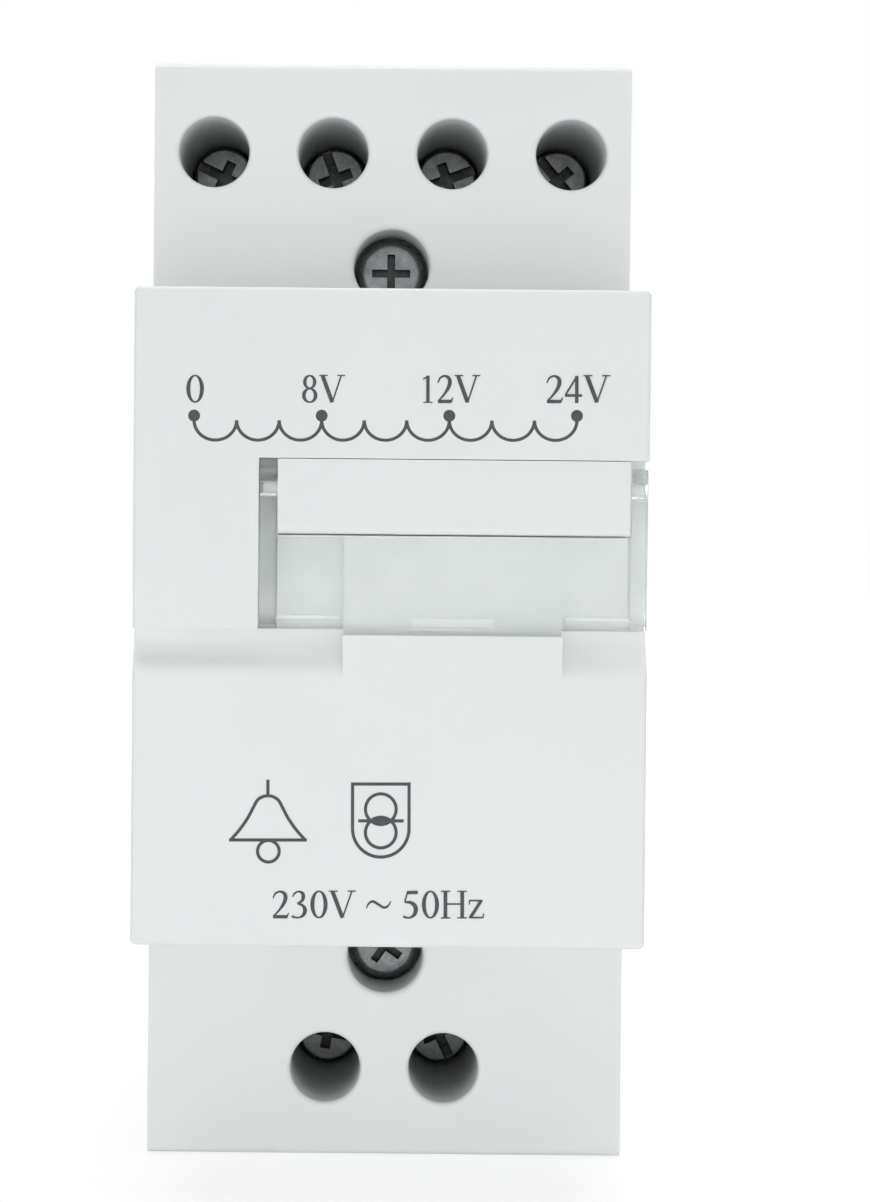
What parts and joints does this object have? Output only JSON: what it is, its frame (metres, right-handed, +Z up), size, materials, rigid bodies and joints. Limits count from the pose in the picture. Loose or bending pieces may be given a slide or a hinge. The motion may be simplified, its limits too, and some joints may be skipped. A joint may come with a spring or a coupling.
{
  "type": "bell transformer",
  "caption": "White rail-mounted bell transformer with a raised nose, deep screw terminals at both ends, a clear hinged label flap and a sprung rail latch.",
  "frame": {"origin": "centre of the rail seat, on the plane of the rail's front face", "axes": "+X right seen from the front, +Y back towards the rail, +Z up"},
  "size_m": [0.0352, 0.065, 0.0808],
  "materials": {
    "housing_white": "satin white moulded thermoplastic",
    "flap_clear": "clear polished polycarbonate",
    "latch_grey": "grey moulded acetal",
    "spring_steel": "drawn spring wire",
    "zinc_steel": "zinc plated steel",
    "bar_brass": "plain brass strip",
    "core_steel": "varnished electrical sheet",
    "bobbin_plastic": "natural moulded nylon",
    "copper_wire": "enamelled copper wire",
    "tape_yellow": "yellow polyester tape",
    "cutout_black": "black resin",
    "lead_black": "wire insulation",
    "lead_red": "wire insulation",
    "lead_brown": "wire insulation",
    "lead_blue": "wire insulation"
  },
  "bodies": {
    "housing": {"front_housing": "housing_white", "rear_base": "housing_white", "hinge_bar": "housing_white", "latch_spring": "spring_steel", "case_screw_top": "zinc_steel", "case_screw_bottom": "zinc_steel", "core_e_stack": "core_steel", "core_i_stack": "core_steel", "bobbin": "bobbin_plastic", "primary_winding": "copper_wire", "secondary_winding": "copper_wire", "primary_tape": "tape_yellow", "secondary_tape": "tape_yellow", "thermal_cutout": "cutout_black", "terminal_bar_0v": "bar_brass", "lead_0v": "lead_black", "terminal_bar_8v": "bar_brass", "lead_8v": "lead_red", "terminal_bar_12v": "bar_brass", "lead_12v": "lead_red", "terminal_bar_24v": "bar_brass", "lead_24v": "lead_red", "terminal_bar_live": "bar_brass", "lead_live": "lead_brown", "terminal_bar_neutral": "bar_brass", "lead_neutral": "lead_blue"},
    "flap": {"label_flap": "flap_clear"},
    "latch": {"rail_latch": "latch_grey"},
    "screw_0v": {"terminal_screw_0v": "zinc_steel"},
    "cage_0v": {"clamp_cage_0v": "zinc_steel"},
    "screw_8v": {"terminal_screw_8v": "zinc_steel"},
    "cage_8v": {"clamp_cage_8v": "zinc_steel"},
    "screw_12v": {"terminal_screw_12v": "zinc_steel"},
    "cage_12v": {"clamp_cage_12v": "zinc_steel"},
    "screw_24v": {"terminal_screw_24v": "zinc_steel"},
    "cage_24v": {"clamp_cage_24v": "zinc_steel"},
    "screw_live": {"terminal_screw_live": "zinc_steel"},
    "cage_live": {"clamp_cage_live": "zinc_steel"},
    "screw_neutral": {"terminal_screw_neutral": "zinc_steel"},
    "cage_neutral": {"clamp_cage_neutral": "zinc_steel"}
  },
  "joints": [
    {"name": "flap_hinge", "type": "hinge", "parent": "housing", "child": "flap", "pos_m": [0.00428, -0.05855, 0.0089], "axis": [-1, 0, 0], "range_deg": [0, 100]},
    {"name": "latch_slide", "type": "slide", "parent": "housing", "child": "latch", "axis": [0, 0, -1], "range_m": [0, 0.004], "stiffness_N_per_m": 800, "springref_m": -0.002, "deforming": ["latch_spring"]},
    {"name": "screw_turn_0v", "type": "hinge", "parent": "housing", "child": "screw_0v", "pos_m": [-0.0132, -0.0295, 0.03395], "axis": [0, 1, 0], "range_deg": [0, 2521]},
    {"name": "cage_slide_0v", "type": "slide", "parent": "housing", "child": "cage_0v", "axis": [0, -1, 0], "range_m": [0, 0.0042]},
    {"name": "screw_turn_8v", "type": "hinge", "parent": "housing", "child": "screw_8v", "pos_m": [-0.0044, -0.0295, 0.03395], "axis": [0, 1, 0], "range_deg": [0, 2521]},
    {"name": "cage_slide_8v", "type": "slide", "parent": "housing", "child": "cage_8v", "axis": [0, -1, 0], "range_m": [0, 0.0042]},
    {"name": "screw_turn_12v", "type": "hinge", "parent": "housing", "child": "screw_12v", "pos_m": [0.0044, -0.0295, 0.03395], "axis": [0, 1, 0], "range_deg": [0, 2521]},
    {"name": "cage_slide_12v", "type": "slide", "parent": "housing", "child": "cage_12v", "axis": [0, -1, 0], "range_m": [0, 0.0042]},
    {"name": "screw_turn_24v", "type": "hinge", "parent": "housing", "child": "screw_24v", "pos_m": [0.0132, -0.0295, 0.03395], "axis": [0, 1, 0], "range_deg": [0, 2521]},
    {"name": "cage_slide_24v", "type": "slide", "parent": "housing", "child": "cage_24v", "axis": [0, -1, 0], "range_m": [0, 0.0042]},
    {"name": "screw_turn_live", "type": "hinge", "parent": "housing", "child": "screw_live", "pos_m": [-0.0044, -0.0295, -0.03395], "axis": [0, 1, 0], "range_deg": [0, 2521]},
    {"name": "cage_slide_live", "type": "slide", "parent": "housing", "child": "cage_live", "axis": [0, -1, 0], "range_m": [0, 0.0042]},
    {"name": "screw_turn_neutral", "type": "hinge", "parent": "housing", "child": "screw_neutral", "pos_m": [0.0044, -0.0295, -0.03395], "axis": [0, 1, 0], "range_deg": [0, 2521]},
    {"name": "cage_slide_neutral", "type": "slide", "parent": "housing", "child": "cage_neutral", "axis": [0, -1, 0], "range_m": [0, 0.0042]}
  ],
  "couplings": [
    {"joint": "screw_turn_0v", "follows": "cage_slide_0v", "rad_per_m": 10472},
    {"joint": "screw_turn_8v", "follows": "cage_slide_8v", "rad_per_m": 10472},
    {"joint": "screw_turn_12v", "follows": "cage_slide_12v", "rad_per_m": 10472},
    {"joint": "screw_turn_24v", "follows": "cage_slide_24v", "rad_per_m": 10472},
    {"joint": "screw_turn_live", "follows": "cage_slide_live", "rad_per_m": 10472},
    {"joint": "screw_turn_neutral", "follows": "cage_slide_neutral", "rad_per_m": 10472}
  ]
}
